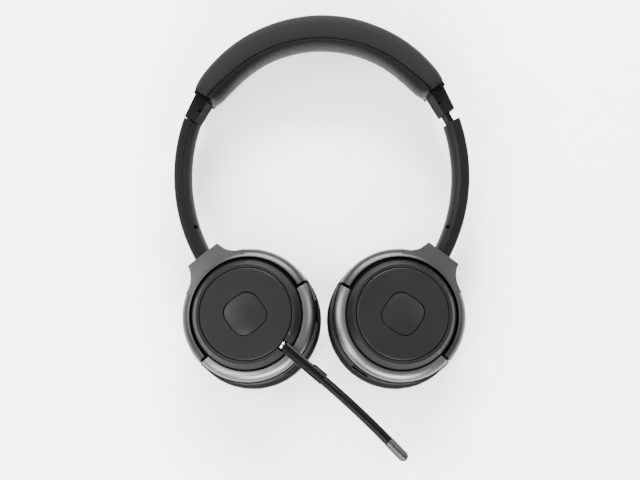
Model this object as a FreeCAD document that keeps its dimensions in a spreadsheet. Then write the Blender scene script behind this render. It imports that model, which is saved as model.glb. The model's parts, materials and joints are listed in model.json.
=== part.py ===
import FreeCAD, Part
import math
import os

import Sketcher

# Office headset lying flat on its ear cushions.
# +Z is the outward side of the ear cups, +Y the crown of the headband, +X the right.
# Each arm, yoke and cup is drawn flat and then toed outward about a line beside the cap.
# Cup pieces are drawn in the cup's frame: z from the cushion's face, +y toward the arm.

V = FreeCAD.Vector
Z_AXIS = V(0, 0, 1)
Y_AXIS = V(0, 1, 0)
X_AXIS = V(1, 0, 0)
LEFT, RIGHT = -1, 1
SIDES = {LEFT: "left", RIGHT: "right"}

SIZES = {
    # headband
    "band_radius": 79.3,
    "band_wide": 36.0,
    "band_centre": 41.7,
    "band_sweep": 132.0,
    "band_corner": 4.0,
    "cover_thick": 1.8,
    "cover_side": 3.0,
    "frame_deep": 9.6,
    "cushion_edge": 1.6,
    "cushion_bulge": 4.6,
    "band_side_round": 3.0,
    "spring_thick": 1.0,
    "spring_wide": 12.0,
    "spring_sweep": 76.0,
    # toe of each side
    "toe_angle": 8.0,
    "toe_line": 68.0,
    "arm_level": 18.0,
    # end caps
    "cap_long": 13.0,
    "cap_top_out": 5.2,
    "cap_top_in": 2.9,
    "cap_low_out": 4.3,
    "cap_low_in": 2.5,
    "cap_roof": 2.2,
    "left_gap": 0.65,
    "right_gap": 5.6,
    # arms
    "upper_shift": 1.2,
    "arm_radius": 91.2,
    "arm_centre_x": 16.5,
    "arm_centre_y": 34.5,
    "arm_up_angle": 18.5,
    "arm_down_angle": 27.5,
    "arm_spare_angle": 5.0,
    "arm_thick": 8.8,
    "arm_tall": 16.0,
    "shell_thick": 5.0,
    "shell_corner": 2.2,
    "inner_tall": 13.6,
    "inner_round": 8.6,
    # slider
    "slide_angle": 30.0,
    "tongue_thick": 2.6,
    "tongue_wide": 9.5,
    "tongue_out": 33.0,
    "tongue_in": 8.0,
    "tongue_gap": 0.3,
    # screws
    "screw_radius": 1.0,
    "screw_deep": 0.9,
    "screw_socket": 0.55,
    "cap_screw_radius": 0.8,
    "cap_screw_across": 1.5,
    "arm_screw_up": 13.5,
    "arm_screw_in": 2.1,
    # swivel
    "shaft_radius": 2.0,
    "shaft_root": 2.3,
    "shaft_long": 6.0,
    "bush_wall": 0.7,
    "bush_long": 4.5,
    "turn_gap": 0.3,
    # cup position
    "cup_x": 38.9,
    "cup_y": 43.0,
    "cup_lift": 0.16,
    "left_yoke_angle": 36.9,
    "right_yoke_angle": 35.0,
    "yoke_reach": 41.3,
    # cup levels above the cushion's face
    "level_plate": 13.0,
    "level_rim": 14.2,
    "level_skirt": 15.4,
    "level_trim": 25.4,
    "level_pivot": 22.0,
    "level_roof": 29.0,
    "level_ring": 34.5,
    # ear cushion
    "cushion_radius": 37.0,
    "cushion_hole": 17.0,
    "cushion_face_out": 29.0,
    "cushion_face_in": 20.5,
    "cushion_back": 35.4,
    "cushion_belly": 7.0,
    "cushion_outer_round": 8.4,
    "cushion_back_round": 7.4,
    "cushion_inner_round": 3.8,
    # cup shell and its fittings
    "rim_radius": 36.0,
    "wall_radius": 30.0,
    "wall_thick": 2.0,
    "roof_thick": 2.0,
    "plate_hole": 17.5,
    "baffle_gap": 0.2,
    "baffle_hole": 15.0,
    "baffle_thick": 2.0,
    "driver_radius": 19.0,
    "driver_tall": 3.2,
    "magnet_radius": 9.0,
    "magnet_tall": 4.2,
    "diaphragm_thick": 0.5,
    "diaphragm_rise": 1.0,
    "cloth_thick": 0.5,
    # yoke and trim
    "yoke_inner": 31.2,
    "yoke_outer": 36.0,
    "yoke_bottom": 20.5,
    "yoke_edge": 22.6,
    "yoke_round": 6.0,
    "yoke_past": 3.6,
    "trim_start": 5.2,
    "neck_wide": 20.0,
    "neck_rise": 27.9,
    "neck_slope": 0.2,
    "neck_far": 50.0,
    "neck_bottom": 9.5,
    "neck_plate": 2.0,
    "neck_flare": 14.0,
    "neck_foot_x": 19.6,
    "neck_foot_y": 29.6,
    "neck_root_x": 18.0,
    "neck_root_y": 27.2,
    "neck_straight": 0.6,
    "pin_radius": 1.8,
    "pin_start": 28.4,
    "pin_end": 33.6,
    # puck: side ring, face plate and button
    "ring_outer": 29.0,
    "ring_inner": 24.9,
    "ring_flat": 1.5,
    "ring_edge": 0.3,
    "ring_wall": 1.4,
    "face_radius": 24.5,
    "face_rise": 0.8,
    "face_edge": 34.3,
    "button_half": 10.25,
    "button_corner": 6.4,
    "button_flat": 5.0,
    "button_bow": 32.0,
    "button_gap": 0.35,
    "button_foot": 29.8,
    "button_crown": 35.4,
    "button_dome": 60.0,
    # boom
    "boom_angle": -77.4,
    "boom_wide": 5.6,
    "boom_tall": 3.9,
    "boom_level": 30.2,
    "boom_start": 25.2,
    "boom_base_end": 54.0,
    "boom_bump": 0.8,
    "boom_bump_long": 8.0,
    "boom_crown": 1.9,
    "boom_crown_round": 3.9,
    "stem_radius": 2.55,
    "stem_bend_radius": 502.0,
    "stem_bend": 5.4,
    "tip_radius": 2.75,
    "tip_long": 12.8,
    "mic_radius": 1.6,
    "mic_long": 4.0,
    "light_radius": 0.55,
    "light_angle": -61.5,
    "light_reach": 25.8,
    # rim controls and port
    "control_tall": 3.0,
    "control_proud": 0.7,
    "control_deep": 2.4,
    "control_travel": 0.5,
    "control_gap": 0.3,
    "control_level": 18.2,
    "rocker_long": 11.6,
    "rocker_angle": -33.0,
    "switch_long": 9.3,
    "port_wide": 9.0,
    "port_tall": 3.2,
    "port_deep": 5.0,
    "port_wall": 0.5,
    # electronics
    "board_long": 34.0,
    "board_wide": 22.0,
    "board_thick": 1.2,
    "battery_long": 30.0,
    "battery_wide": 20.0,
    "battery_thick": 2.6,
    "inside_level": 24.2,
}

doc = FreeCAD.newDocument("OfficeHeadset")
sheet = doc.addObject("Spreadsheet::Sheet", "Sizes")
for row, (name, value) in enumerate(SIZES.items(), 1):
    sheet.set(f"A{row}", name)
    sheet.set(f"B{row}", repr(value))
    sheet.setAlias(f"B{row}", name)
doc.recompute()


class Size:
    """A number together with the sheet expression it comes from."""

    def __init__(self, value, text):
        self.value = float(value)
        self.text = text

    def __add__(self, other):
        other = size(other)
        return Size(self.value + other.value, f"({self.text} + {other.text})")

    def __sub__(self, other):
        other = size(other)
        return Size(self.value - other.value, f"({self.text} - {other.text})")

    def __mul__(self, other):
        other = size(other)
        return Size(self.value * other.value, f"({self.text} * {other.text})")

    def __neg__(self):
        return Size(-self.value, f"(-1 * {self.text})")


def size(number):
    """A Size from a plain number, or the Size itself."""
    return number if isinstance(number, Size) else Size(number, repr(float(number)))


class Sheet:
    """The sheet's cells, read by alias."""

    def __getattr__(self, alias):
        return Size(sheet.get(alias), f"Sizes.{alias}")


S = Sheet()


def bind(thing, **sizes):
    """Tie each property of an object to the sheet."""
    for name, amount in sizes.items():
        thing.setExpression(name, size(amount).text)


def turn(axis, degrees):
    return FreeCAD.Rotation(axis, degrees)


def place(x=0.0, y=0.0, z=0.0, rotation=None):
    return FreeCAD.Placement(V(x, y, z), rotation or FreeCAD.Rotation())


# ---- frames -------------------------------------------------------------------------


def side_frame(side):
    """Toes one side outward about a line along Y beside its cap."""
    pivot = V(side * S.toe_line.value, 0, S.arm_level.value)
    return FreeCAD.Placement(V(), turn(Y_AXIS, side * S.toe_angle.value), pivot)


def cup_spot(side):
    """The cup's frame before the toe."""
    angle = S.left_yoke_angle if side == LEFT else S.right_yoke_angle
    x = side * S.cup_x.value
    return place(x, -S.cup_y.value, S.cup_lift.value, turn(Z_AXIS, -side * angle.value))


def arm_spot(side):
    """The middle of the arm's arc before the toe, +x through the arm's middle."""
    middle = (S.arm_down_angle.value - S.arm_up_angle.value) / 2
    angle = 180 + middle if side == LEFT else -middle
    x = -side * S.arm_centre_x.value - S.upper_shift.value
    return place(x, S.arm_centre_y.value, 0, turn(Z_AXIS, angle))


def slide_spot(side):
    """The top end of the arm before the toe, +y along the slide into the headband."""
    up = math.radians(S.arm_up_angle.value)
    x = S.arm_radius.value * math.cos(up) - S.arm_centre_x.value
    y = S.arm_centre_y.value + S.arm_radius.value * math.sin(up)
    x = side * x - S.upper_shift.value
    return place(x, y, S.arm_level.value, turn(Z_AXIS, side * S.slide_angle.value))


def band_spot():
    """The centre of the headband's arc, +x through the crown."""
    return place(-S.upper_shift.value, S.band_centre.value, 0, turn(Z_AXIS, 90))


# ---- drawing helpers ----------------------------------------------------------------


def origin_plane(body, role):
    return next(f for f in body.Origin.OriginFeatures if f.Role == role)


def pin_point(sketch, piece, end, x, y):
    """Fix one sketch point at (x, y) with constraints tied to the sheet."""
    for amount, kind, axis in ((x, "DistanceX", -2), (y, "DistanceY", -1)):
        if abs(amount.value) < 1e-9:
            sketch.addConstraint(Sketcher.Constraint("PointOnObject", piece, end, axis))
            continue
        if amount.value > 0:
            ends = (-1, 1, piece, end)
        else:
            ends = (piece, end, -1, 1)
            amount = -amount
        index = sketch.addConstraint(Sketcher.Constraint(kind, *ends, amount.value))
        sketch.setExpression(f"Constraints[{index}]", amount.text)


def arc_through(start, finish, radius, side):
    """A short arc between two points, its centre on the left (+1) or right (-1) of the chord."""
    chord = finish - start
    half = chord.Length / 2
    rise = math.sqrt(max(radius**2 - half**2, 0.0))
    across = V(-chord.y, chord.x, 0).normalize()
    centre = start + chord * 0.5 + across * (rise * side)
    first = math.atan2(start.y - centre.y, start.x - centre.x)
    last = math.atan2(finish.y - centre.y, finish.x - centre.x)
    if side < 0:
        first, last = last, first
    circle = Part.Circle(centre, Z_AXIS, radius)
    return Part.ArcOfCircle(circle, first, last)


def draw(body, role, outline, name="Outline"):
    """A closed sketch. The outline lists (x, y) points, with ("arc", radius, side) between two."""
    sketch = body.newObject("Sketcher::SketchObject", name)
    sketch.AttachmentSupport = [(origin_plane(body, role), "")]
    sketch.MapMode = "FlatFace"
    points = []
    arcs = {}
    for item in outline:
        if item[0] == "arc":
            arcs[len(points) - 1] = (size(item[1]), item[2])
        else:
            points.append((size(item[0]), size(item[1])))
    spots = [V(x.value, y.value, 0) for x, y in points]
    ends = []
    for i, start in enumerate(spots):
        finish = spots[(i + 1) % len(spots)]
        if i in arcs:
            radius, side = arcs[i]
            sketch.addGeometry(arc_through(start, finish, radius.value, side), False)
            ends.append((1, 2) if side > 0 else (2, 1))
        else:
            sketch.addGeometry(Part.LineSegment(start, finish), False)
            ends.append((1, 2))
    for i, (x, y) in enumerate(points):
        before = (i - 1) % len(points)
        meet = (before, ends[before][1], i, ends[i][0])
        sketch.addConstraint(Sketcher.Constraint("Coincident", *meet))
        pin_point(sketch, i, ends[i][0], x, y)
    for i, (radius, _) in arcs.items():
        index = sketch.addConstraint(Sketcher.Constraint("Radius", i, radius.value))
        sketch.setExpression(f"Constraints[{index}]", radius.text)
    return sketch


def revolved(label, outline, sweep=360.0):
    """A body turned about Z from an outline in (radius, height), centred on +x."""
    body = doc.addObject("PartDesign::Body", label)
    sketch = draw(body, "XZ_Plane", outline)
    doc.recompute()
    feature = body.newObject("PartDesign::Revolution", "Turned")
    feature.Profile = sketch
    feature.ReferenceAxis = (sketch, ["V_Axis"])
    feature.Midplane = size(sweep).value < 360
    bind(feature, Angle=sweep)
    sketch.Visibility = False
    return body


def raised(label, outline, low, high):
    """A body drawn in XY and raised from one height to another."""
    body = doc.addObject("PartDesign::Body", label)
    sketch = draw(body, "XY_Plane", outline)
    sketch.setExpression("AttachmentOffset.Base.z", size(low).text)
    doc.recompute()
    feature = body.newObject("PartDesign::Pad", "Raised")
    feature.Profile = sketch
    bind(feature, Length=size(high) - size(low))
    sketch.Visibility = False
    return body


def block(label, x, y, z, where=None):
    """A box given by its (low, high) on each axis, moved by a placement."""
    thing = doc.addObject("Part::Box", label)
    spans = [(size(low), size(high)) for low, high in (x, y, z)]
    long, wide, tall = (high - low for low, high in spans)
    bind(thing, Length=long, Width=wide, Height=tall)
    corner = place(*(low.value for low, _ in spans))
    thing.Placement = (where or place()) * corner
    return thing


def rod(label, radius, long, where):
    thing = doc.addObject("Part::Cylinder", label)
    bind(thing, Radius=radius, Height=long)
    thing.Placement = where
    return thing


def cut(label, base, *tools):
    """The base less every tool."""
    thing = doc.addObject("Part::Cut", label)
    thing.Base = base
    thing.Tool = tools[0] if len(tools) == 1 else join(f"{label}_tools", *tools)
    return thing


def join(label, *pieces):
    thing = doc.addObject("Part::MultiFuse", label)
    thing.Shapes = list(pieces)
    return thing


def overlap(label, *pieces):
    thing = doc.addObject("Part::MultiCommon", label)
    thing.Shapes = list(pieces)
    return thing


NODES = {}


def node(name, thing, frame=None):
    """Name a finished piece and put it in its place."""
    thing.Label = name
    if frame is not None:
        thing.Placement = frame * thing.Placement
    NODES[name] = thing
    return thing


# ---- shared levels ------------------------------------------------------------------

band_outer = S.band_radius
frame_outer = band_outer - S.cover_thick
frame_inner = frame_outer - S.frame_deep
cushion_inner = frame_inner - S.cushion_edge
frame_low = S.cover_side
frame_high = S.band_wide - S.cover_side
gap = S.tongue_gap


def band_ends():
    """Two blocks that square off the headband where each end cap meets it."""
    blocks = []
    for side, start in ((LEFT, S.left_gap), (RIGHT, S.right_gap)):
        top = start + S.cap_long
        where = side_frame(side) * slide_spot(side)
        blocks.append(block("BandEnd", (-40, 40), (top - 60, top), (-60, 60), where))
    return blocks


# ---- headband -----------------------------------------------------------------------


def headband():
    channels = []
    for side, spare in ((LEFT, S.left_gap), (RIGHT, S.right_gap)):
        where = side_frame(side) * slide_spot(side)
        half = S.tongue_thick * 0.5 + gap
        tall = S.tongue_wide * 0.5 + gap
        depth = S.tongue_out + spare + 0.5
        channels.append(block("Channel", (-half, half), (0, depth), (-tall, tall), where))
    spring_low = (S.band_wide - S.spring_wide) * 0.5
    spring_high = spring_low + S.spring_wide
    spring_inner = frame_outer - S.spring_thick

    frame = revolved(
        "FrameBody",
        [
            (frame_inner, frame_low),
            (frame_outer, frame_low),
            (frame_outer, frame_high),
            (frame_inner, frame_high),
        ],
        S.band_sweep,
    )
    frame.Placement = band_spot()
    strip = [
        (spring_inner, spring_low),
        (frame_outer, spring_low),
        (frame_outer, spring_high),
        (spring_inner, spring_high),
    ]
    groove = revolved("SpringGroove", strip, S.spring_sweep)
    groove.Placement = band_spot()
    node("headband_frame", cut("Frame", frame, groove, *channels, *band_ends()))
    node("headband_spring", revolved("Spring", strip, S.spring_sweep), band_spot())

    corner = S.band_corner
    cover = revolved(
        "CoverBody",
        [
            (frame_inner, 0),
            (band_outer - corner, 0),
            ("arc", corner, 1),
            (band_outer, corner),
            (band_outer, S.band_wide - corner),
            ("arc", corner, 1),
            (band_outer - corner, S.band_wide),
            (frame_inner, S.band_wide),
            (frame_inner, frame_high),
            (frame_outer, frame_high),
            (frame_outer, frame_low),
            (frame_inner, frame_low),
        ],
        S.band_sweep,
    )
    cover.Placement = band_spot()
    node("headband_cover", cut("Cover", cover, *band_ends()))

    round_in = S.band_side_round
    belly = cushion_inner - S.cushion_bulge
    cushion = revolved(
        "CushionBody",
        [
            (frame_inner, 0),
            (frame_inner, S.band_wide),
            (cushion_inner, S.band_wide - round_in * 0.5),
            ("arc", 16.0, 1),
            (belly, S.band_wide * 0.5),
            ("arc", 16.0, 1),
            (cushion_inner, round_in * 0.5),
        ],
        S.band_sweep,
    )
    cushion.Placement = band_spot()
    node("headband_cushion", cut("BandCushion", cushion, *band_ends()))

    for side, name in SIDES.items():
        end_cap(side, name)


def end_cap(side, name):
    """The tapered block under each end of the headband, open for the slider."""
    start = S.left_gap if side == LEFT else S.right_gap
    deep = (S.tongue_wide * 0.5 + gap + S.cap_roof) * 2
    low_out, low_in = S.cap_low_out * side, S.cap_low_in * -side
    top_out, top_in = S.cap_top_out * side, S.cap_top_in * -side
    outline = [(low_out, 0), (low_in, 0), (top_in, S.cap_long), (top_out, S.cap_long)]
    body = raised(f"{name}CapBody", outline, 0, deep)
    base = place(0, start.value, -deep.value / 2)
    body.Placement = slide_spot(side) * base
    half = S.tongue_thick * 0.5 + gap
    tall = S.tongue_wide * 0.5 + gap
    slot = block("CapSlot", (-half, half), (-1, 30), (-tall, tall), slide_spot(side))
    # the screw sits in the roof over the slot, toward the cap's inner side
    x = -side * S.cap_screw_across.value
    y = (start + S.cap_long * 0.5).value
    where = slide_spot(side) * place(x, y, deep.value / 2)
    hole, screw = screw_and_hole(name + "Cap", where, S.cap_screw_radius, 1.0)
    node(f"{name}_end_cap", cut(f"{name}Cap", body, slot, hole), side_frame(side))
    node(f"{name}_cap_screw", screw, side_frame(side))


def screw_and_hole(name, where, radius, long):
    """A screw sunk below a face at the placement's origin, and the hole it fills."""
    sunk = S.screw_deep
    down = place(0, 0, -sunk.value - long)
    hole = rod(f"{name}ScrewHole", radius, sunk + long + 1.0, where * down)
    shank = rod(f"{name}ScrewShank", radius, long, where * down)
    socket = doc.addObject("Part::Prism", f"{name}Socket")
    socket.Polygon = 6
    bind(socket, Circumradius=radius * S.screw_socket, Height=long)
    socket.Placement = where * place(0, 0, -sunk.value - 0.8)
    return hole, cut(f"{name}Screw", shank, socket)


# ---- arms ---------------------------------------------------------------------------


def arm(side, name):
    mid = S.arm_level
    tall, corner = S.arm_tall * 0.5, S.shell_corner
    outer = S.arm_radius + S.arm_thick * 0.5
    seam = outer - S.shell_thick
    inner = S.arm_radius - S.arm_thick * 0.5
    short = S.inner_tall * 0.5
    sweep = S.arm_up_angle + S.arm_down_angle
    # the lower end runs long and is squared off against the yoke
    long_sweep = sweep + S.arm_spare_angle * 2
    shell = revolved(
        f"{name}ShellBody",
        [
            (seam, mid - tall),
            (outer - corner, mid - tall),
            ("arc", corner, 1),
            (outer, mid - tall + corner),
            (outer, mid + tall - corner),
            ("arc", corner, 1),
            (outer - corner, mid + tall),
            (seam, mid + tall),
        ],
        long_sweep,
    )
    shell.Placement = arm_spot(side)
    cover = revolved(
        f"{name}CoverBody",
        [
            (seam, mid - short),
            (seam, mid + short),
            ("arc", S.inner_round, 1),
            (inner, mid),
            ("arc", S.inner_round, 1),
        ],
        long_sweep,
    )
    cover.Placement = arm_spot(side)

    end = S.yoke_reach + S.turn_gap
    lower = block("ArmLowEnd", (-40, 40), (end - 60, end), (-60, 60), cup_spot(side))
    upper = block("ArmTopEnd", (-40, 40), (0, 60), (-60, 60), slide_spot(side))
    axis = cup_spot(side) * place(0, end.value, (mid - S.cup_lift).value, turn(X_AXIS, -90))
    bush_outer = S.shaft_radius + gap + S.bush_wall
    bush_hole = rod("BushHole", bush_outer, S.bush_long, axis)
    shaft_hole = rod("ShaftHole", S.shaft_radius + gap, S.shaft_long + 0.6, axis)
    half, wide = S.tongue_thick * 0.5, S.tongue_wide * 0.5
    root = block("TongueRoot", (-half, half), (-S.tongue_in, 1), (-wide, wide), slide_spot(side))

    up = S.arm_screw_up.value / S.arm_radius.value - math.radians(S.arm_down_angle.value)
    reach = seam.value - S.arm_screw_in.value
    x = side * (reach * math.cos(up) - S.arm_centre_x.value) - S.upper_shift.value
    y = S.arm_centre_y.value + reach * math.sin(up)
    level = (mid + short).value - 2.0
    hole, screw = screw_and_hole(name + "Arm", place(x, y, level), S.screw_radius, 2.6)

    frame = side_frame(side)
    cuts = (lower, upper, bush_hole, shaft_hole, root)
    node(f"{name}_arm_shell", cut(f"{name}Shell", shell, *cuts), frame)
    node(f"{name}_arm_cover", cut(f"{name}Cover", cover, *cuts, hole), frame)
    node(f"{name}_arm_screw", screw, frame)
    long = (-S.tongue_in, S.tongue_out)
    tongue = block(f"{name}Tongue", (-half, half), long, (-wide, wide), slide_spot(side))
    node(f"{name}_slider_tongue", tongue, frame)
    bush = cut(f"{name}Bush", rod("BushBlank", bush_outer, S.bush_long, axis), shaft_hole)
    node(f"{name}_swivel_bush", bush, frame)


# ---- yokes --------------------------------------------------------------------------


def ring_profile(inner, low):
    """The rounded outer section shared by the yoke and the cup's bright trim."""
    return [
        (inner, low),
        (S.yoke_outer, low),
        (S.yoke_outer, S.yoke_edge),
        ("arc", S.yoke_round, 1),
        (inner, S.level_roof),
    ]


def yoke(side, name):
    ring = revolved(f"{name}YokeRing", ring_profile(S.yoke_inner, S.yoke_bottom))
    above = block("YokeHalf", (-50, 50), (-S.yoke_past, 50), (0, 50))
    arch = overlap(f"{name}YokeArch", ring, above)
    half = S.neck_wide * 0.5
    top = S.yoke_reach
    flare = top - S.neck_straight
    neck = raised(
        f"{name}Neck",
        [
            (-half, top),
            (-half, flare),
            ("arc", S.neck_flare, -1),
            (-S.neck_foot_x, S.neck_foot_y),
            (-S.neck_root_x, S.neck_root_y),
            ("arc", 32.6, -1),
            (S.neck_root_x, S.neck_root_y),
            (S.neck_foot_x, S.neck_foot_y),
            ("arc", S.neck_flare, -1),
            (half, flare),
            (half, top),
        ],
        S.neck_bottom,
        S.level_roof,
    )
    # above the plate's foot the neck is only as deep as the ring, so the cup can tilt under it
    start = S.neck_root_y - 6.0
    fall = (S.neck_far - start) * S.neck_slope
    slope = revolved(
        f"{name}NeckSlope",
        [
            (start, S.yoke_bottom),
            (S.neck_far, S.yoke_bottom),
            (S.neck_far, S.neck_rise + (S.yoke_outer - start) * S.neck_slope - fall),
            (start, S.neck_rise + (S.yoke_outer - start) * S.neck_slope),
        ],
    )
    web = overlap(f"{name}NeckWeb", neck, slope)
    plate_low = top - S.neck_plate
    plate = block("NeckPlate", (-half, half), (plate_low, top), (S.neck_bottom, S.yoke_bottom + 0.5))
    body = join(f"{name}YokeBody", arch, web, plate)
    axis_level = (S.arm_level - S.cup_lift).value
    axis = place(0, (top - S.shaft_root).value, axis_level, turn(X_AXIS, -90))
    bore = rod("ShaftBore", S.shaft_radius, S.shaft_root + 1, axis)
    frame = side_frame(side) * cup_spot(side)
    pins = []
    for where, word in ((-1, "outer"), (1, "inner")):
        flip = 1 if side == LEFT else -1
        x = where * flip * S.pin_start.value
        spot = place(x, 0, S.level_pivot.value, turn(Y_AXIS, 90 * where * flip))
        long = S.pin_end - S.pin_start
        pins.append(rod("PinBore", S.pin_radius, long, spot))
        pin = rod(f"{name}{word}Pin", S.pin_radius, long, spot)
        node(f"{name}_{word}_pivot_pin", pin, frame)
    node(f"{name}_yoke", cut(f"{name}Yoke", body, bore, *pins), frame)
    shaft = rod(f"{name}Shaft", S.shaft_radius, S.shaft_root + S.shaft_long, axis)
    node(f"{name}_swivel_shaft", shaft, frame)


# ---- ear cups -----------------------------------------------------------------------


def lower_half(label):
    """The part of the cup beyond the ends of the yoke."""
    return block(label, (-50, 50), (-50, -S.trim_start), (0, 50))


def rim_control(angle, long, proud, spare):
    """A bar set in the skirt, its long side along the rim."""
    outer = S.yoke_outer + proud
    half = size(long) * 0.5 + spare
    tall = S.control_tall * 0.5 + spare
    low, high = S.control_level - tall, S.control_level + tall
    start = S.yoke_outer - S.control_deep - (S.control_travel if spare != 0 else 0)
    spot = place(rotation=turn(Z_AXIS, angle))
    return block("Control", (start, outer), (-half, half), (low, high), spot)


def ear_cup(side, name):
    frame = side_frame(side) * cup_spot(side)
    wall_in = S.wall_radius - S.wall_thick
    shell = revolved(
        f"{name}CupBody",
        [
            (0, S.level_roof - S.roof_thick),
            (wall_in, S.level_roof - S.roof_thick),
            (wall_in, S.level_rim),
            (S.rim_radius, S.level_rim),
            (S.rim_radius, S.level_skirt),
            (S.wall_radius, S.level_skirt),
            (S.wall_radius, S.level_roof),
            (0, S.level_roof),
        ],
    )
    skirt = revolved(
        f"{name}SkirtRing",
        [
            (S.wall_radius, S.level_skirt),
            (S.rim_radius, S.level_skirt),
            (S.rim_radius, S.level_trim),
            (S.wall_radius, S.level_trim),
        ],
    )
    skirt = overlap(f"{name}Skirt", skirt, lower_half("SkirtHalf"))
    body = join(f"{name}CupShell", shell, skirt)
    across = place(-40, 0, S.level_pivot.value, turn(Y_AXIS, 90))
    tools = [rod("PinHole", S.pin_radius + gap, 80, across)]
    if side == LEFT:
        tools.append(rim_control(S.rocker_angle.value, S.rocker_long, 1.0, S.control_gap))
        half, tall = S.port_wide * 0.5, S.port_tall * 0.5
        back = -(S.rim_radius - S.port_deep)
        front = -S.rim_radius
        level = (S.control_level - tall, S.control_level + tall)
        tools.append(block("PortHole", (-half, half), (front - 1, back), level))
        wall = S.port_wall
        outer = block("PortShell", (-half, half), (front + 0.4, back), level)
        level = (level[0] + wall, level[1] - wall)
        hollow = block("PortHollow", (-half + wall, half - wall), (front - 1, back - wall), level)
        node("usb_port", cut("Port", outer, hollow), frame)
        rocker = rim_control(S.rocker_angle.value, S.rocker_long, S.control_proud, 0)
        node("volume_rocker", rocker, frame)
    else:
        tools.append(rim_control(-90, S.switch_long, 1.0, S.control_gap))
        node("power_switch", rim_control(-90, S.switch_long, S.control_proud, 0), frame)
    node(f"{name}_cup_shell", cut(f"{name}Cup", body, *tools), frame)

    # the trim follows the yoke's section and stands on the skirt
    trim = revolved(f"{name}TrimRing", ring_profile(S.wall_radius, S.yoke_bottom))
    above = block("TrimAbove", (-50, 50), (-50, 50), (S.level_trim, S.level_roof + 1))
    raised_trim = overlap(f"{name}TrimAbove", trim, above)
    node(f"{name}_trim_ring", overlap(f"{name}Trim", raised_trim, lower_half("TrimHalf")), frame)

    plate = [
        (S.plate_hole, S.level_plate),
        (S.cushion_back - 0.4, S.level_plate),
        (S.cushion_back - 0.4, S.level_rim),
        (S.plate_hole, S.level_rim),
    ]
    node(f"{name}_cushion_plate", revolved(f"{name}Plate", plate), frame)
    cloth = rod(f"{name}Cloth", S.plate_hole, S.cloth_thick, place(0, 0, S.level_plate.value + 0.3))
    node(f"{name}_driver_cloth", cloth, frame)

    floor = S.level_rim + 0.1
    deck = floor + S.baffle_thick
    baffle_out = wall_in - S.baffle_gap
    baffle = [
        (S.baffle_hole, floor),
        (baffle_out, floor),
        (baffle_out, deck),
        (S.baffle_hole, deck),
    ]
    node(f"{name}_baffle", revolved(f"{name}Baffle", baffle), frame)
    top = deck + S.driver_tall
    driver = [
        (S.magnet_radius, top - 1.0),
        (S.baffle_hole, top - 1.0),
        (S.baffle_hole, deck),
        (S.driver_radius, deck),
        (S.driver_radius, top),
        (S.magnet_radius, top),
    ]
    node(f"{name}_driver_frame", revolved(f"{name}Driver", driver), frame)
    magnet = place(0, 0, top.value + 0.6 - S.magnet_tall.value)
    node(f"{name}_driver_magnet", rod(f"{name}Magnet", S.magnet_radius, S.magnet_tall, magnet), frame)
    edge = floor + 0.2
    rise = edge + S.diaphragm_rise
    thin = S.diaphragm_thick
    dome = [
        (0, rise),
        (S.magnet_radius - 2.0, rise),
        (S.baffle_hole, edge),
        (S.baffle_hole, edge - thin),
        (S.magnet_radius - 2.0, rise - thin),
        (0, rise - thin),
    ]
    node(f"{name}_driver_diaphragm", revolved(f"{name}Diaphragm", dome), frame)

    cushion = [
        (S.cushion_face_in, 0),
        (S.cushion_face_out, 0),
        ("arc", S.cushion_outer_round, 1),
        (S.cushion_radius, S.cushion_belly),
        ("arc", S.cushion_back_round, 1),
        (S.cushion_back, S.level_plate),
        (S.cushion_hole, S.level_plate),
        (S.cushion_hole, S.cushion_inner_round),
        ("arc", S.cushion_inner_round, 1),
    ]
    node(f"{name}_ear_cushion", revolved(f"{name}Cushion", cushion), frame)
    puck(side, name, frame)


def button_outline(grow):
    """A square with bowed sides and round corners, grown outward by an amount."""
    half = S.button_half + grow
    flat = S.button_flat
    bow, corner = S.button_bow, S.button_corner
    edge = half - 0.4
    bottom = ((-flat, -edge), (flat, -edge))
    right = ((edge, -flat), (edge, flat))
    top = ((flat, edge), (-flat, edge))
    left = ((-edge, flat), (-edge, -flat))
    points = []
    for start, finish in (bottom, right, top, left):
        points += [start, ("arc", bow, 1), finish, ("arc", corner, 1)]
    return points


def puck(side, name, frame):
    """The raised round front of the cup: side ring, face plate and pressed button."""
    edge = S.ring_edge
    top = S.level_ring
    base = S.level_roof + (0.3 if side == LEFT else 0.0)
    inner, outer = S.ring_inner, S.ring_outer
    ring = revolved(
        f"{name}SideRing",
        [
            (inner, base),
            (outer, base),
            (outer, base + S.ring_wall),
            (inner + S.ring_flat + edge, top - edge * 0.5),
            (inner + S.ring_flat, top),
            (inner + edge, top),
            (inner, top - edge),
        ],
    )
    face = revolved(
        f"{name}FaceBody",
        [
            (0, S.level_roof),
            (S.face_radius, S.level_roof),
            (S.face_radius, S.face_edge),
            (S.face_radius - 0.6, S.face_edge + 0.4),
            ("arc", 700.0, 1),
            (0, S.face_edge + S.face_rise),
        ],
    )
    window = raised(f"{name}Window", button_outline(S.button_gap), S.level_roof - 1, 40)
    node(f"{name}_face_plate", cut(f"{name}Face", face, window), frame)
    key = raised(f"{name}Key", button_outline(0), S.button_foot, S.button_crown + 0.5)
    dome = doc.addObject("Part::Sphere", f"{name}KeyDome")
    bind(dome, Radius=S.button_dome)
    dome.Placement = place(0, 0, (S.button_crown - S.button_dome).value)
    node(f"{name}_button", overlap(f"{name}Button", key, dome), frame)
    if side == LEFT:
        boom(ring, frame)
    else:
        node("right_side_ring", ring, frame)


# ---- boom ---------------------------------------------------------------------------


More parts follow.
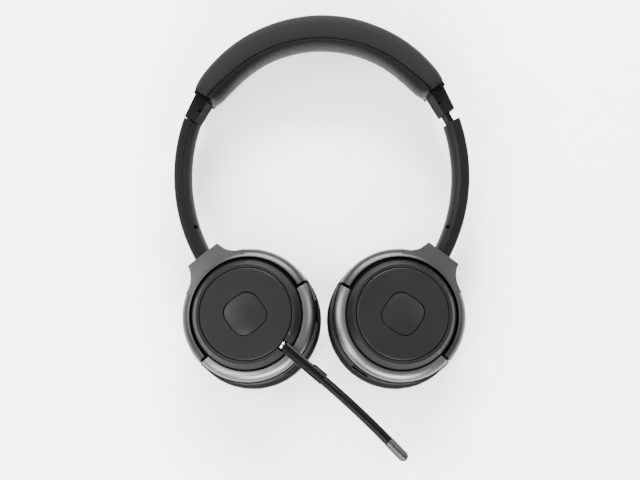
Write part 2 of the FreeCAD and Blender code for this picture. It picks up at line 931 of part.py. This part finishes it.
def boom(ring, frame):
    """Everything that turns round the left cup, drawn along +x and then turned to its rest."""
    rest = place(rotation=turn(Z_AXIS, S.boom_angle.value))
    half = S.boom_wide * 0.5
    low = S.boom_level
    high = low + S.boom_tall
    start, end = S.boom_start, S.boom_base_end
    bump = end - S.boom_bump_long
    outline = [
        (start, -half),
        (end, -half),
        (end, half + S.boom_bump),
        (bump, half + S.boom_bump),
        (bump - 2.0, half),
        (start, half),
    ]
    plan = raised("BoomPlan", outline, low, high)
    # seen from its end the base has a crowned top, higher in the middle than at its edges
    crown = [
        (-half, low),
        (half + S.boom_bump, low),
        (half + S.boom_bump, high - S.boom_crown),
        ("arc", S.boom_crown_round, 1),
        (-half, high - S.boom_crown),
    ]
    bar = raised("BoomCrown", crown, start, end)
    bar.Placement = place(rotation=turn(V(1, 1, 1), 120))
    base = overlap("BoomBase", plan, bar)
    middle = (low + S.boom_tall * 0.5).value
    along = turn(Y_AXIS, 90)
    # the stem bends gently away from the right cup, along an arc whose centre is to its side
    bend = S.stem_bend_radius.value
    stem = doc.addObject("Part::Torus", "BoomStem")
    bind(stem, Radius1=S.stem_bend_radius, Radius2=S.stem_radius, Angle3=S.stem_bend)
    centre = place(end.value, -bend, middle)
    stem.Placement = centre * place(rotation=turn(Z_AXIS, 90 - S.stem_bend.value))
    tip = centre * place(rotation=turn(Z_AXIS, -S.stem_bend.value)) * place(0, bend, 0)
    notch = block("BoomNotch", (start - 3, outlet()), (-half, half), (low, 40), rest)
    light_turn = place(rotation=turn(Z_AXIS, S.light_angle.value))
    light_spot = light_turn * place(S.light_reach.value, 0, S.level_ring.value - 1.1)
    pit = rod("LightPit", S.light_radius, 3.0, light_spot)
    node("boom_ring", cut("BoomRing", ring, notch, pit), frame)
    node("status_light", rod("Light", S.light_radius, 1.1, light_spot), frame)
    node("boom_arm", base, frame * rest)
    node("boom_stem", stem, frame * rest)

    straight = S.tip_long - S.tip_radius
    shell = rod("TipBarrel", S.tip_radius, straight, tip * place(rotation=along))
    nose = doc.addObject("Part::Sphere", "TipNose")
    bind(nose, Radius=S.tip_radius)
    nose.Placement = tip * place(straight.value)
    mic_x = straight.value * 0.5
    mic_spot = tip * place(mic_x, 0, -3.0)
    seat = rod("MicSeat", S.mic_radius, S.mic_long, mic_spot)
    node("boom_tip", cut("Tip", join("TipBody", shell, nose), seat), frame * rest)
    mic_where = tip * place(mic_x, 0, -2.2)
    node("mic_capsule", rod("Mic", S.mic_radius, S.mic_long - 0.8, mic_where), frame * rest)


def outlet():
    """Beyond the side ring's outer edge."""
    return S.ring_outer + 1.0


def electronics():
    level = S.inside_level
    for side, name, long, wide, thick in (
        (LEFT, "circuit_board", S.board_long, S.board_wide, S.board_thick),
        (RIGHT, "battery", S.battery_long, S.battery_wide, S.battery_thick),
    ):
        frame = side_frame(side) * cup_spot(side)
        half, deep = long * 0.5, wide * 0.5
        box = block(f"{name}Box", (-half, half), (-deep, deep), (level, level + thick))
        node(name, box, frame)


headband()
for side, name in SIDES.items():
    arm(side, name)
    yoke(side, name)
    ear_cup(side, name)
electronics()
doc.recompute()

# ---- the finished part stands on Z = 0, centred on its box ----------------------------

whole = FreeCAD.BoundBox()
for thing in NODES.values():
    whole.add(thing.Shape.optimalBoundingBox(True, False))
shift = V(-whole.Center.x, -whole.Center.y, -whole.ZMin)
for thing in NODES.values():
    moved = thing.Placement
    moved.Base = moved.Base + shift
    thing.Placement = moved
doc.recompute()

problems = [o.Label for o in doc.Objects if {"Invalid", "Error"} & set(o.State)]
for name, thing in NODES.items():
    if thing.Shape.isNull() or not thing.Shape.isValid():
        problems.append(name)
    elif len(thing.Shape.Solids) != 1:
        problems.append(f"{name} has {len(thing.Shape.Solids)} solids")
if problems:
    raise SystemExit("not built: " + ", ".join(problems))

os.makedirs("parts", exist_ok=True)
for name, thing in NODES.items():
    thing.Shape.exportStep(f"parts/{name}.step")
print(len(NODES), "pieces, shifted", [round(v, 4) for v in shift])
print("box", [round(v, 3) for v in (whole.XLength, whole.YLength, whole.ZLength)])
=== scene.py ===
import json
import math

import bmesh
import bpy
from mathutils import Matrix, Vector, noise


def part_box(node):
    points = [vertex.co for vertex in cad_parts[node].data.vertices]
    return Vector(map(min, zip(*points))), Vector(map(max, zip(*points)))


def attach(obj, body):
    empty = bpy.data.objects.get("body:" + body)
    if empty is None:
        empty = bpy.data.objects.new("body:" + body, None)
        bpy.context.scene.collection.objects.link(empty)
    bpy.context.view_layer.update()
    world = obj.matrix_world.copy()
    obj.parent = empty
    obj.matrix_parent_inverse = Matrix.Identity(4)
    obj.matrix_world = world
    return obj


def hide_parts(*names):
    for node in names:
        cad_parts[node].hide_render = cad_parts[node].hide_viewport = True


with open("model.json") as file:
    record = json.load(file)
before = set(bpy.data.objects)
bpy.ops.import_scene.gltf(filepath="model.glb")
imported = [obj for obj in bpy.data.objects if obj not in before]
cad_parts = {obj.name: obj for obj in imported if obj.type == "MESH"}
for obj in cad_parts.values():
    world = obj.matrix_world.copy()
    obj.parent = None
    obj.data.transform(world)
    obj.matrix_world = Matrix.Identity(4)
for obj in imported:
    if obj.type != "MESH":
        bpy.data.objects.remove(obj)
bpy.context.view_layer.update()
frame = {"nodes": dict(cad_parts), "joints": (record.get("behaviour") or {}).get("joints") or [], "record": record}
NODES = frame["nodes"]
JOINTS = {j["name"]: j for j in frame["joints"]}
MM = 0.001


# ---- materials ----------------------------------------------------------------------

# Noise scales are per metre, and depths are in metres.
TONE_SPREAD = 0.15  # how far the base color wanders, as a share of itself
GLOSS_SPREAD = 0.05  # how far the roughness wanders either way
BROAD_SCALE, BROAD_DETAIL = 45.0, 6.0
FINE_DETAIL = 3.0
FINE_DEPTH = 0.0003
METAL_SPECULAR = 0.5
BEVEL_SAMPLES = 4
PAINT_GRAIN = 1600.0
FACE_GRAIN = 1500.0
CREASE_WIDTH = 0.18  # as a share of a leather cell
CREASE_DEPTH = 0.0002


def material(name, color, rough, metallic=0.0, grain=900.0, bump=0.05, edge=0.25, shine=0.3):
    """A surface with fine grain, uneven tone and gloss, and edges softened by edge in mm."""
    mat = bpy.data.materials.new(name)
    mat.use_nodes = True
    nodes, links = mat.node_tree.nodes, mat.node_tree.links
    shader = nodes["Principled BSDF"]
    shader.inputs["Metallic"].default_value = metallic
    shader.inputs["Specular IOR Level"].default_value = METAL_SPECULAR if metallic else shine
    where = nodes.new("ShaderNodeTexCoord").outputs["Object"]
    broad = nodes.new("ShaderNodeTexNoise")
    broad.inputs["Scale"].default_value = BROAD_SCALE
    broad.inputs["Detail"].default_value = BROAD_DETAIL
    links.new(where, broad.inputs["Vector"])
    tone = nodes.new("ShaderNodeMix")
    tone.data_type = "RGBA"
    tone.inputs["A"].default_value = (*[c * (1 - TONE_SPREAD) for c in color], 1)
    tone.inputs["B"].default_value = (*[c * (1 + TONE_SPREAD) for c in color], 1)
    links.new(broad.outputs["Fac"], tone.inputs["Factor"])
    links.new(tone.outputs["Result"], shader.inputs["Base Color"])
    spread = nodes.new("ShaderNodeMapRange")
    spread.inputs["To Min"].default_value = rough - GLOSS_SPREAD
    spread.inputs["To Max"].default_value = rough + GLOSS_SPREAD
    links.new(broad.outputs["Fac"], spread.inputs["Value"])
    links.new(spread.outputs["Result"], shader.inputs["Roughness"])
    fine = nodes.new("ShaderNodeTexNoise")
    fine.inputs["Scale"].default_value = grain
    fine.inputs["Detail"].default_value = FINE_DETAIL
    links.new(where, fine.inputs["Vector"])
    relief = nodes.new("ShaderNodeBump")
    relief.inputs["Strength"].default_value = bump
    relief.inputs["Distance"].default_value = FINE_DEPTH
    links.new(fine.outputs["Fac"], relief.inputs["Height"])
    soften = nodes.new("ShaderNodeBevel")
    soften.samples = BEVEL_SAMPLES
    soften.inputs["Radius"].default_value = edge * MM
    links.new(soften.outputs["Normal"], relief.inputs["Normal"])
    links.new(relief.outputs["Normal"], shader.inputs["Normal"])
    return mat


def leather(name, color, rough, cells, bump, shine):
    """Leatherette: a pebbled grain of small cells with fine creases between them."""
    mat = material(name, color, rough, edge=0.0, shine=shine)
    nodes, links = mat.node_tree.nodes, mat.node_tree.links
    shader = nodes["Principled BSDF"]
    where = nodes.new("ShaderNodeTexCoord").outputs["Object"]
    pebble = nodes.new("ShaderNodeTexVoronoi")
    pebble.feature = "DISTANCE_TO_EDGE"
    pebble.inputs["Scale"].default_value = cells
    links.new(where, pebble.inputs["Vector"])
    shape = nodes.new("ShaderNodeMapRange")
    shape.inputs["From Max"].default_value = CREASE_WIDTH
    links.new(pebble.outputs["Distance"], shape.inputs["Value"])
    grain = nodes.new("ShaderNodeBump")
    grain.inputs["Strength"].default_value = bump
    grain.inputs["Distance"].default_value = CREASE_DEPTH
    links.new(shape.outputs["Result"], grain.inputs["Height"])
    links.new(grain.outputs["Normal"], shader.inputs["Normal"])
    return mat


MATS = {
    "matte_black": material(
        "matte black plastic", (0.0016, 0.0016, 0.0017), rough=0.5, shine=0.012
    ),
    "arm_shell": material("arm shell", (0.0036, 0.0036, 0.0037), rough=0.4, shine=0.05),
    "arm_cover": material("arm cover", (0.005, 0.005, 0.0051), rough=0.38, shine=0.07),
    "leather": leather(
        "leatherette", (0.0042, 0.0043, 0.0043), rough=0.34, cells=1500.0, bump=0.25, shine=0.03
    ),
    "gunmetal": material(
        "gunmetal paint",
        (0.027, 0.027, 0.0275),
        rough=0.36,
        metallic=0.85,
        grain=PAINT_GRAIN,
        bump=0.06,
    ),
    "silver": material(
        "satin silver",
        (0.1, 0.102, 0.106),
        rough=0.34,
        metallic=1.0,
        grain=PAINT_GRAIN,
        bump=0.04,
    ),
    "face": material(
        "face plate", (0.006, 0.006, 0.0061), rough=0.38, grain=FACE_GRAIN, edge=0.35, shine=0.08
    ),
    "button": material(
        "button", (0.0056, 0.0056, 0.0057), rough=0.34, grain=FACE_GRAIN, edge=0.4, shine=0.12
    ),
    "steel": material("steel", (0.02, 0.02, 0.02), rough=0.35, metallic=1.0),
    "cloth": material(
        "knit", (0.003, 0.003, 0.003), rough=0.9, grain=2500.0, bump=0.6, shine=0.05
    ),
    "magnet": material("nickel", (0.3, 0.3, 0.3), rough=0.3, metallic=1.0),
    "film": material("film", (0.1, 0.09, 0.06), rough=0.4),
    "board": material("board", (0.01, 0.06, 0.03), rough=0.4),
    "cell": material("pouch", (0.2, 0.2, 0.21), rough=0.35),
    "boom": material(
        "boom rubber", (0.0018, 0.0018, 0.0019), rough=0.22, edge=0.5, shine=0.07
    ),
    "light": material("lens", (0.02, 0.02, 0.02), rough=0.2),
}
TIP = material(
    "dark satin metal",
    (0.042, 0.042, 0.043),
    rough=0.34,
    metallic=1.0,
    grain=PAINT_GRAIN,
    bump=0.04,
)
CAP = material("cap plastic", (0.0046, 0.0046, 0.0047), rough=0.5, shine=0.012)
DARK = material("blackened steel", (0.0008, 0.0008, 0.0008), rough=0.6, shine=0.02)
COVER = leather(
    "outer leatherette", (0.0052, 0.0052, 0.0053), rough=0.6, cells=1900.0, bump=0.2, shine=0.06
)
THREAD = material("thread", (0.0006, 0.0006, 0.0006), rough=0.8, shine=0.02)
SLOTS = {s["node"]: s["material_slot"] for s in frame["record"]["subparts"]}
for name, thing in NODES.items():
    thing.data.materials.clear()
    dark = "_pin" in name or "screw" in name or name == "usb_port"
    cap = "end_cap" in name or "tongue" in name
    own = TIP if name == "boom_tip" else MATS[SLOTS[name]]
    thing.data.materials.append(DARK if dark else CAP if cap else own)


# ---- mesh helpers ---------------------------------------------------------------------


def link(thing):
    bpy.context.scene.collection.objects.link(thing)
    return thing


def mesh_object(name, verts, faces, mat):
    """A smooth-shaded object of one mesh, with its faces turned outward."""
    data = bpy.data.meshes.new(name)
    data.from_pydata([tuple(v) for v in verts], [], faces)
    data.update()
    bm = bmesh.new()
    bm.from_mesh(data)
    bmesh.ops.recalc_face_normals(bm, faces=bm.faces)
    bm.to_mesh(data)
    bm.free()
    for face in data.polygons:
        face.use_smooth = True
    thing = link(bpy.data.objects.new(name, data))
    thing.data.materials.append(mat)
    return thing


def loft(sections, ring=False):
    """Points and faces for equal closed sections, joined in a ring or capped at both ends."""
    count = len(sections[0])
    verts = [p for s in sections for p in s]
    faces = []
    steps = len(sections) if ring else len(sections) - 1
    for i in range(steps):
        a, b = i * count, (i + 1) % len(sections) * count
        for j in range(count):
            k = (j + 1) % count
            faces.append((a + j, a + k, b + k, b + j))
    if not ring:
        faces.append(tuple(range(count)))
        last = (len(sections) - 1) * count
        faces.append(tuple(range(last + count - 1, last - 1, -1)))
    return verts, faces


def uneven(point, amount):
    """Smooth unevenness of the surface, the same at the same point each time."""
    return noise.noise(Vector(point)) * amount


def ease(t):
    """A quarter circle from 0 at t = 0, where it is flat, to 1 at t = 1, where it is steep."""
    t = max(0.0, min(1.0, t))
    return 1 - math.sqrt(1 - t * t)


# ---- headband -------------------------------------------------------------------------

# Lengths and radii are in mm and angles in degrees, from the crown and positive to the right.
LEFT_END, RIGHT_END = -61.9, 57.9
BAND_RADIUS = 79.3
_, band_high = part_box("headband_cover")
BAND_Y = band_high.y / MM - BAND_RADIUS  # the center of the band's arc
WIDE = 36.0
SIDE_INSET = 0.3  # from the pad's full width to the leather's sides
DEEPER = 2.6  # how much deeper the lower seam lies than the upper one
STEPS = 160

# Radii along the middle of the pad, and how each changes over its reach before an end.
MEAN_RADIUS = 72.0
OUTER, OUTER_TUCK, OUTER_REACH = 79.1, 1.7, 8.0
INNER, INNER_THIN, THIN_REACH, INNER_TUCK, INNER_REACH = 61.8, 1.6, 20.0, 3.6, 7.0
SEAM, SEAM_SPREAD, SEAM_THIN, SEAM_REACH = 65.1, 0.0008, 1.6, 18.0
NARROW, NARROW_REACH = 1.2, 6.0

# The cover's hidden inside, where it lies round the moulded frame.
HIDDEN = 4  # the last points of a section, which are hidden and stay smooth
BACK_RADIUS = 77.4
WALL_LOW, WALL_TOP = 2.85, 33.15

LEAST_LEATHER = 0.3
COVER_CORNER = 6.0
CORNER_GAP = 0.3  # between a side's last point and its corner
COVER_LIP = 0.8  # how far the leather takes to turn over beside the seam
SIDE_CROWN = 0.22
APEX_DROP = 12.5  # from the cushion's top down to its fullest place
BELLY_TOP_POINTS, BELLY_LOW_POINTS = 12, 17
SAG, COVER_CREASE, CUSHION_CREASE = 0.25, 0.05, 0.16


def band_point(angle, radius, z):
    """The place in metres of a point given in degrees and mm."""
    a = math.radians(angle)
    return Vector((math.sin(a) * radius, BAND_Y + math.cos(a) * radius, z)) * MM


def band_sizes(angle):
    """Outer, inner and seam radius at an angle, and how much narrower each side is there."""
    end = LEFT_END if angle < 0 else RIGHT_END
    left = (abs(end) - abs(angle)) * math.pi / 180 * MEAN_RADIUS
    outer = OUTER - OUTER_TUCK * ease(1 - left / OUTER_REACH)
    inner = INNER + INNER_THIN * max(0.0, 1 - left / THIN_REACH) ** 1.5
    inner += INNER_TUCK * ease(1 - left / INNER_REACH)
    seam = SEAM + SEAM_SPREAD * angle * angle
    seam += SEAM_THIN * max(0.0, 1 - left / SEAM_REACH) ** 1.3
    return outer, inner, seam, NARROW * ease(1 - left / NARROW_REACH)


def arc_points(center_x, center_z, radius_x, radius_z, start, stop, count):
    """Points along part of an ellipse, its angles in degrees from +x toward +z."""
    out = []
    for i in range(count + 1):
        a = math.radians(start + (stop - start) * i / count)
        out.append((center_x + radius_x * math.cos(a), center_z + radius_z * math.sin(a)))
    return out


def side_points(start, stop, z, crown, shares):
    """Points across one side of the cover, bowed outward by crown in its middle."""
    return [(start + (stop - start) * t, z + crown * math.sin(math.pi * t)) for t in shares]


def cover_section(angle):
    """The outer leather in (radius, z): over both sides and the outside, open to the cushion."""
    outer, _, seam, narrower = band_sizes(angle)
    deep = seam + DEEPER
    top = WIDE - SIDE_INSET - narrower
    low = SIDE_INSET + narrower
    center = outer - COVER_CORNER
    turn = center - CORNER_GAP
    flat = top - low - 2 * COVER_CORNER
    points = [(seam + 0.03, top - 0.6), (seam + 0.06, top - 0.4), (seam + COVER_LIP, top - 0.08)]
    points += side_points(seam, turn, top, SIDE_CROWN, (0.25, 0.5, 0.75))
    points += arc_points(center, top - COVER_CORNER, COVER_CORNER, COVER_CORNER, 90, 0, 7)
    points += [(outer, top - COVER_CORNER - flat * t) for t in (0.2, 0.4, 0.6, 0.8)]
    points += arc_points(center, low + COVER_CORNER, COVER_CORNER, COVER_CORNER, 0, -90, 7)
    points += side_points(deep, turn, low, -SIDE_CROWN, (0.75, 0.5, 0.25))
    points += [(deep + COVER_LIP, low + 0.12), (deep + 0.35, low + 0.55), (deep + 0.25, low + 1.3)]
    back = min(BACK_RADIUS, outer - LEAST_LEATHER)
    hidden = [(deep + 0.25, WALL_LOW), (back, WALL_LOW), (back, WALL_TOP), (seam + 0.25, WALL_TOP)]
    return points + hidden


def cushion_section(angle):
    """The inner cushion in (radius, z): fullest above the middle, from seam to seam."""
    _, inner, seam, narrower = band_sizes(angle)
    deep = seam + DEEPER
    top = WIDE - SIDE_INSET - narrower
    low = SIDE_INSET + narrower
    points = [(seam - 0.03, top - 0.6), (seam - 0.06, top - 0.4), (seam - 0.7, top - 0.1)]
    apex = top - APEX_DROP
    shoulder = seam - 0.9
    for i in range(1, BELLY_TOP_POINTS):
        a = math.pi / 2 * i / BELLY_TOP_POINTS
        radius = shoulder - (shoulder - inner) * math.sin(a)
        points.append((radius, apex + (top - 0.1 - apex) * math.cos(a) ** 0.8))
    for i in range(BELLY_LOW_POINTS):
        t = i / BELLY_LOW_POINTS
        points.append((inner + (deep - 0.9 - inner) * t**1.7, apex + (low + 0.1 - apex) * t))
    points += [(deep - 0.85, low + 0.1), (deep - 0.35, low + 0.55), (deep - 0.25, low + 1.3)]
    hidden = [(deep - 0.2, WALL_LOW), (deep - 0.4, 10.0)]
    hidden += [(seam + 0.3, 23.0), (seam - 0.2, WALL_TOP)]
    return points + hidden


def band_piece(name, section, mat, wrinkle):
    """One leather of the headband, with a soft sag and creases that run across it."""
    sections = []
    for step in range(STEPS + 1):
        angle = LEFT_END + (RIGHT_END - LEFT_END) * step / STEPS
        outline = section(angle)
        ring = []
        for i, (radius, z) in enumerate(outline):
            if i < len(outline) - HIDDEN:
                sag = uneven((angle * 0.05, z * 0.05, radius * 0.1), SAG)
                crease = uneven((angle * 0.55, z * 0.12, 7.0), wrinkle)
                radius -= max(0.0, sag) + abs(crease)
            ring.append(band_point(angle, radius, z))
        sections.append(ring)
    return mesh_object(name, *loft(sections), mat)


STITCH_LONG, STITCH_RADIUS = 1.15, 0.36
STITCH_PITCH, STITCH_AHEAD, STITCH_START = 1.7, 0.8, 1.0  # degrees
STITCH_INSET, LOW_STITCH_INSET = 0.62, 0.75  # from the pad's full width
STITCH_SHAPE = ((0, 0.35), (0.2, 0.95), (0.5, 1.1), (0.8, 0.95), (1, 0.35))
STITCH_SIDES = 6


def stitches():
    """Short thread stitches along the seam, on both sides of the headband."""
    verts, faces = [], []
    up = Vector((0, 0, 1))
    angle = LEFT_END + STITCH_START
    while angle < RIGHT_END - STITCH_START:
        _, _, seam, narrower = band_sizes(angle)
        next_angle = angle + STITCH_AHEAD
        next_seam = band_sizes(next_angle)[2]
        upper = (WIDE - STITCH_INSET - narrower, 0.0)
        lower = (LOW_STITCH_INSET + narrower, DEEPER)
        for z, deeper in (upper, lower):
            here = band_point(angle, seam + deeper, z)
            ahead = band_point(next_angle, next_seam + deeper, z)
            along = (ahead - here).normalized()
            side = along.cross(up)
            rings = []
            for t, share in STITCH_SHAPE:
                ring = []
                for k in range(STITCH_SIDES):
                    a = 2 * math.pi * k / STITCH_SIDES
                    off = side * math.cos(a) + up * math.sin(a)
                    center = here + along * (t * STITCH_LONG * MM)
                    ring.append(center + off * (STITCH_RADIUS * MM * share))
                rings.append(ring)
            points, stitch_faces = loft(rings)
            base = len(verts)
            verts += points
            faces += [tuple(base + k for k in face) for face in stitch_faces]
        angle += STITCH_PITCH
    return mesh_object("headband_stitching", verts, faces, THREAD)


cover = band_piece("headband_outer_leather", cover_section, COVER, COVER_CREASE)
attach(cover, "headband")
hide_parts("headband_cover")

cushion = band_piece(
    "headband_inner_leather", cushion_section, MATS["leather"], CUSHION_CREASE
)
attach(cushion, "headband")
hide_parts("headband_cushion")

thread = stitches()
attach(thread, "headband")


# ---- ear cushions -----------------------------------------------------------------------

# All in mm, with z up from the face that meets the ear.
CUSHION_FACE = 22.0  # from the cup's tilt axis to the face that meets the ear
AROUND = 144
HOLE_RADIUS = 17.5
CUSHION_RADIUS = 37.3
LEAST_HOLE_RADIUS = 17.05
CUSHION_TALL, LEAST_Z = 12.95, 0.02
SEWN_RADIUS = 18.5  # where the pleats round the hole are deepest
PLEAT_REACH = 4.5
PLEAT, PLEAT_DENSITY = 0.55, 13
SLACK, SLACK_DENSITY = 0.22, 3
SLACK_FROM, SEAM_FROM = 27, 30  # the radii outside which the slack and the back seam show
BACK_SEAM, BACK_SEAM_Z, BACK_SEAM_WIDE = 0.55, 10.6, 0.55
HELD_Z, PLAIN_Z = 12.4, 12.3  # above these the cushion is held to its plate, and left plain
SHIFT = 1.2  # toward -y of the whole headset

CLOTH_QUALITY, CLOTH_MASS, CLOTH_PRESSURE, CLOTH_FRAMES = 6, 0.2, 4.0, 20
CLOTH_TRAVEL = 0.6


def cup_matrix(side):
    """The cup's own frame in metres: z out of the cup from the cushion's face, y to the arm."""
    pivot = Vector(JOINTS[f"{side}_tilt"]["pos_m"])
    up = -Vector(JOINTS[f"{side}_button_press"]["axis"]).normalized()
    sign = -1 if side == "left" else 1
    ahead = sign * Vector(JOINTS[f"{side}_swivel"]["axis"]).normalized()
    across = ahead.cross(up)
    spin = Matrix((across, ahead, up)).transposed().to_4x4()
    return Matrix.Translation(pivot - up * CUSHION_FACE * MM) @ spin


def cushion_profile():
    """Slightly slack section of the ear cushion in (radius, z), before it is inflated."""
    points = [(19.5, 0.7), (22.5, 0.45), (26.0, 0.4), (29.0, 0.9)]
    points += arc_points(29.4, 7.3, 7.3, 6.3, -70, 60, 8)
    points += [(34.2, 12.9), (28.0, CUSHION_TALL), (22.0, CUSHION_TALL), (17.6, 12.9)]
    points += [(HOLE_RADIUS, 9.0), (HOLE_RADIUS, 5.0), (17.9, 2.2)]
    return points


def inflate(thing, cap, pin):
    """Blow the slack leather up as cloth, limit each point's travel to cap, keep the result."""
    base = [v.co.copy() for v in thing.data.vertices]
    group = thing.vertex_groups.new(name="held")
    group.add([i for i, co in enumerate(base) if pin(co)], 1.0, "REPLACE")
    cloth = thing.modifiers.new("cloth", "CLOTH")
    cloth.settings.quality = CLOTH_QUALITY
    cloth.settings.mass = CLOTH_MASS
    cloth.settings.effector_weights.gravity = 0
    cloth.settings.use_pressure = True
    cloth.settings.uniform_pressure_force = CLOTH_PRESSURE
    cloth.settings.vertex_group_mass = "held"
    cloth.point_cache.frame_start, cloth.point_cache.frame_end = 1, CLOTH_FRAMES
    scene = bpy.context.scene
    for step in range(1, CLOTH_FRAMES + 1):
        scene.frame_set(step)
    shape = thing.evaluated_get(bpy.context.evaluated_depsgraph_get()).to_mesh()
    swollen = [v.co.copy() for v in shape.vertices]
    thing.modifiers.remove(cloth)
    for v, start, finish in zip(thing.data.vertices, base, swollen):
        move = finish - start
        if move.length > cap:
            move = move * (cap / move.length)
        v.co = start + move
    thing.data.update()
    scene.frame_set(1)


def ear_cushion(side):
    """A turned, inflated ring with pleats round its hole and a sewn joint near its back."""
    profile = cushion_profile()
    sections = []
    for i in range(AROUND):
        a = 2 * math.pi * i / AROUND
        sections.append([Vector((r * math.cos(a), r * math.sin(a), z)) * MM for r, z in profile])
    thing = mesh_object(f"{side}_cushion_leather", *loft(sections, ring=True), MATS["leather"])
    inflate(thing, CLOTH_TRAVEL * MM, lambda co: co.z > HELD_Z * MM)
    smoother = thing.modifiers.new("smooth", "SUBSURF")
    smoother.levels = smoother.render_levels = 1
    bpy.context.view_layer.objects.active = thing
    bpy.ops.object.modifier_apply(modifier=smoother.name)
    for v in thing.data.vertices:
        radius = math.hypot(v.co.x, v.co.y) / MM
        z = v.co.z / MM
        angle = math.atan2(v.co.y, v.co.x)
        if z < PLAIN_Z:
            near = max(0.0, 1 - abs(radius - SEWN_RADIUS) / PLEAT_REACH)
            x, y = math.cos(angle), math.sin(angle)
            pleat = abs(uneven((x * PLEAT_DENSITY, y * PLEAT_DENSITY, 2.0), PLEAT)) * near
            slack, seam = 0.0, 0.0
            if radius > SLACK_FROM:
                slack = abs(uneven((x * SLACK_DENSITY, y * SLACK_DENSITY, z * 0.1), SLACK))
            if radius > SEAM_FROM:
                seam = BACK_SEAM * math.exp(-(((z - BACK_SEAM_Z) / BACK_SEAM_WIDE) ** 2))
            radius += pleat * 0.5 - slack - seam
            z += pleat * 0.6
        radius = max(LEAST_HOLE_RADIUS, min(CUSHION_RADIUS, radius))
        z = max(LEAST_Z, min(CUSHION_TALL, z))
        v.co = Vector((math.cos(angle) * radius, math.sin(angle) * radius, z)) * MM
    thing.data.transform(Matrix.Translation((0, -SHIFT * MM, 0)) @ cup_matrix(side))
    thing.data.update()
    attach(thing, f"{side}_cup")
    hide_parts(f"{side}_ear_cushion")


for side in ("left", "right"):
    ear_cushion(side)

# ---- the boom's hinge pin ---------------------------------------------------------------

ROOT_REACH = 1.2  # how much of the boom's near end is averaged to find its root
PIN_OUT, PIN_RAISED = 0.5, 0.7  # from the root, away from the turning axis and up
PIN_SHAPE = ((-1.9, 0.5), (-1.7, 0.85), (1.7, 0.85), (1.9, 0.5))  # along the pin, and radius
PIN_SIDES = 16


def hinge_pin():
    """The end of a steel pin that shows at the root of the boom."""
    center = Vector(JOINTS["boom_turn"]["pos_m"])
    axis = Vector(JOINTS["boom_turn"]["axis"]).normalized()
    arm = NODES["boom_arm"]
    points = [arm.matrix_world @ v.co for v in arm.data.vertices]

    def reach(point):
        off = point - center
        return (off - axis * off.dot(axis)).length

    nearest = min(reach(p) for p in points)
    root = [p for p in points if reach(p) < nearest + ROOT_REACH * MM]
    middle = sum(root, Vector()) / len(root)
    out = (middle - center) - axis * (middle - center).dot(axis)
    out.normalize()
    across = axis.cross(out)
    middle += out * PIN_OUT * MM + Vector((0, 0, PIN_RAISED * MM))
    turn = Matrix((out, axis, across)).transposed()
    sections = []
    for along, radius in PIN_SHAPE:
        ring = []
        for k in range(PIN_SIDES):
            a = 2 * math.pi * k / PIN_SIDES
            point = Vector((math.cos(a) * radius, math.sin(a) * radius, along))
            ring.append(middle + turn @ (point * MM))
        sections.append(ring)
    steel = material("bright steel", (0.6, 0.6, 0.6), rough=0.2, metallic=1.0)
    pin = mesh_object("boom_hinge_pin", *loft(sections), steel)
    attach(pin, "boom")


hinge_pin()

# ---- floor, light and camera -----------------------------------------------------------

# In metres, except where a comment says otherwise.
FLOOR_SIZE, FLOOR_DROP = 6, 0.0004  # the drop keeps the floor clear of the leather
FLOOR_WHITE, FLOOR_ROUGH = 0.94, 0.85
WORLD_STRENGTH = 0.9
# name, place, aim, width, height and power in watts
SOFTBOXES = (
    ("left", (-1.1, 0.25, 0.95), (0, 0, 0), 0.7, 0.9, 24),
    ("right", (1.1, 0.25, 0.95), (0, 0, 0), 0.7, 0.9, 9),
    ("back", (0, 1.3, 0.9), (0, 0, 0), 1.3, 0.6, 120),
    ("front", (0.1, -1.15, 0.75), (0, -0.03, 0), 1.2, 0.5, 55),
    ("strip", (-0.55, -0.55, 0.75), (0, -0.06, 0), 0.12, 0.9, 14),
)
CAMERA_TARGET = Vector((-0.00097, -0.00099, 0.0175))
CAMERA_ELEVATION = 81.5  # in degrees; the camera is one metre from its target
CAMERA_LENS, SENSOR_WIDTH = 104.2, 36.0  # in mm
CAMERA_NEAR = 0.05


def look(thing, direction):
    """Point a lamp's or camera's -z along a direction, with its y up."""
    thing.rotation_euler = direction.to_track_quat("-Z", "Y").to_euler()


def softbox(name, place, aim, wide, tall, power):
    """A rectangular lamp at a place, turned to face its aim."""
    data = bpy.data.lights.new(name, "AREA")
    data.shape = "RECTANGLE"
    data.size = wide
    data.size_y = tall
    data.energy = power
    lamp = link(bpy.data.objects.new(name, data))
    lamp.location = place
    look(lamp, Vector(aim) - Vector(place))


bpy.ops.mesh.primitive_plane_add(size=FLOOR_SIZE, location=(0, 0, -FLOOR_DROP))
floor = bpy.context.object
white = bpy.data.materials.new("floor")
white.use_nodes = True
paint = white.node_tree.nodes["Principled BSDF"]
paint.inputs["Base Color"].default_value = (FLOOR_WHITE, FLOOR_WHITE, FLOOR_WHITE, 1)
paint.inputs["Roughness"].default_value = FLOOR_ROUGH
floor.data.materials.append(white)

world = bpy.data.worlds.new("studio")
bpy.context.scene.world = world
world.use_nodes = True
sky = world.node_tree.nodes["Background"]
sky.inputs["Color"].default_value = (1, 1, 1, 1)
sky.inputs["Strength"].default_value = WORLD_STRENGTH

for box in SOFTBOXES:
    softbox(*box)

elevation = math.radians(CAMERA_ELEVATION)
away = Vector((0, -math.cos(elevation), math.sin(elevation)))
camera_data = bpy.data.cameras.new("camera")
camera_data.lens = CAMERA_LENS
camera_data.sensor_width = SENSOR_WIDTH
camera_data.clip_start = CAMERA_NEAR
camera = link(bpy.data.objects.new("camera", camera_data))
camera.location = CAMERA_TARGET + away
look(camera, -away)
bpy.context.scene.camera = camera
